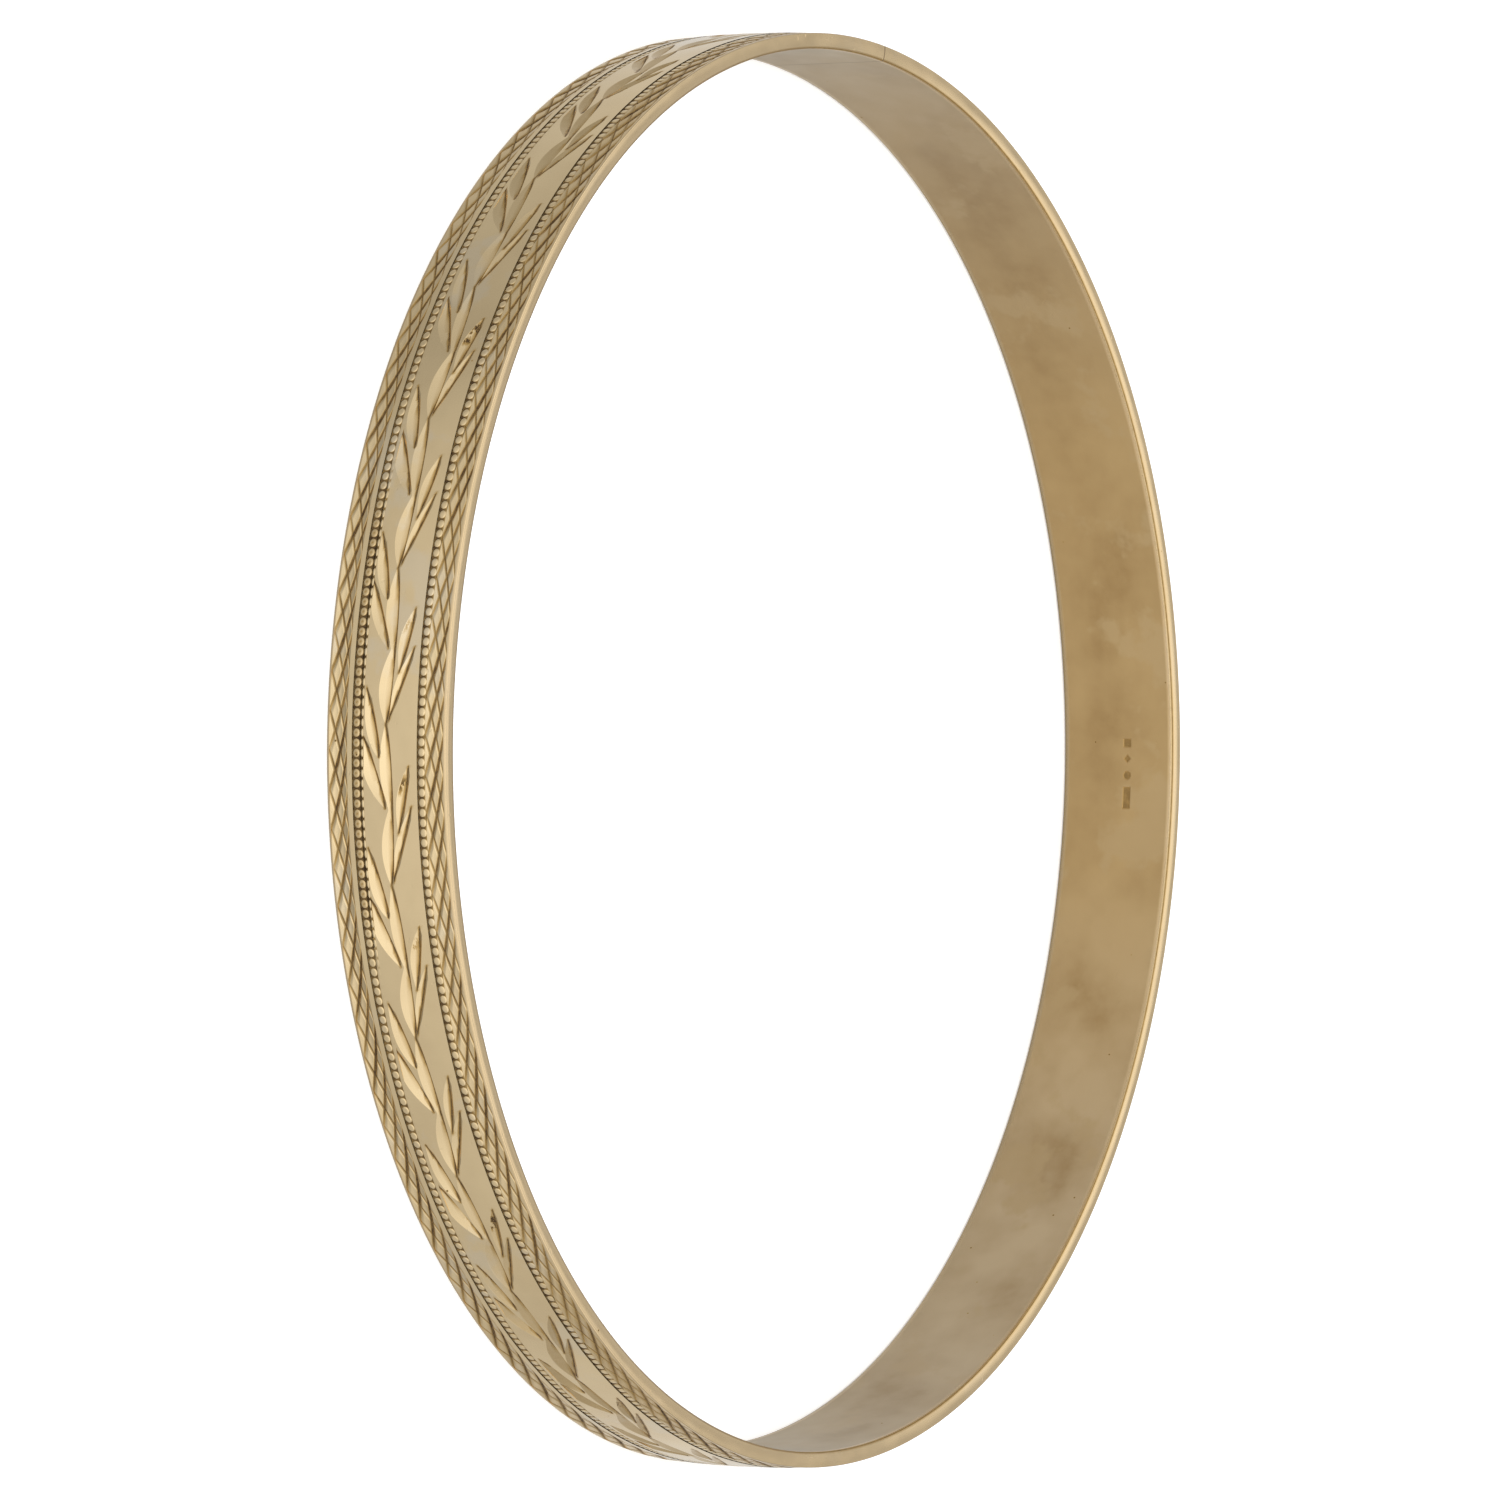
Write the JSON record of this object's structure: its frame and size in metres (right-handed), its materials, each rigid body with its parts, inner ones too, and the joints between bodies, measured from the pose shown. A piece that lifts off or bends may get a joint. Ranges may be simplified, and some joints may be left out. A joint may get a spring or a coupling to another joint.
{
  "type": "bangle bracelet",
  "caption": "Round closed bangle: a flat gold strip bent into a ring and soldered, with engraved leaf scroll, grained lines and hatched edges.",
  "frame": {"origin": "middle of the ring on the plane of the lower rim, on which the bangle lies", "axes": "+Z along the ring's axis, from the lower rim to the upper rim; the punched marks are inside the ring at +Y; the soldered joint is close to -X"},
  "size_m": [0.0686, 0.0686, 0.0064],
  "materials": {
    "yellow_gold": "polished, with bright cuts and dark recesses",
    "gold_solder": "polished, slightly paler than the band"
  },
  "bodies": {
    "root": {"bangle_band": "yellow_gold", "solder_seam": "gold_solder"}
  },
  "joints": []
}
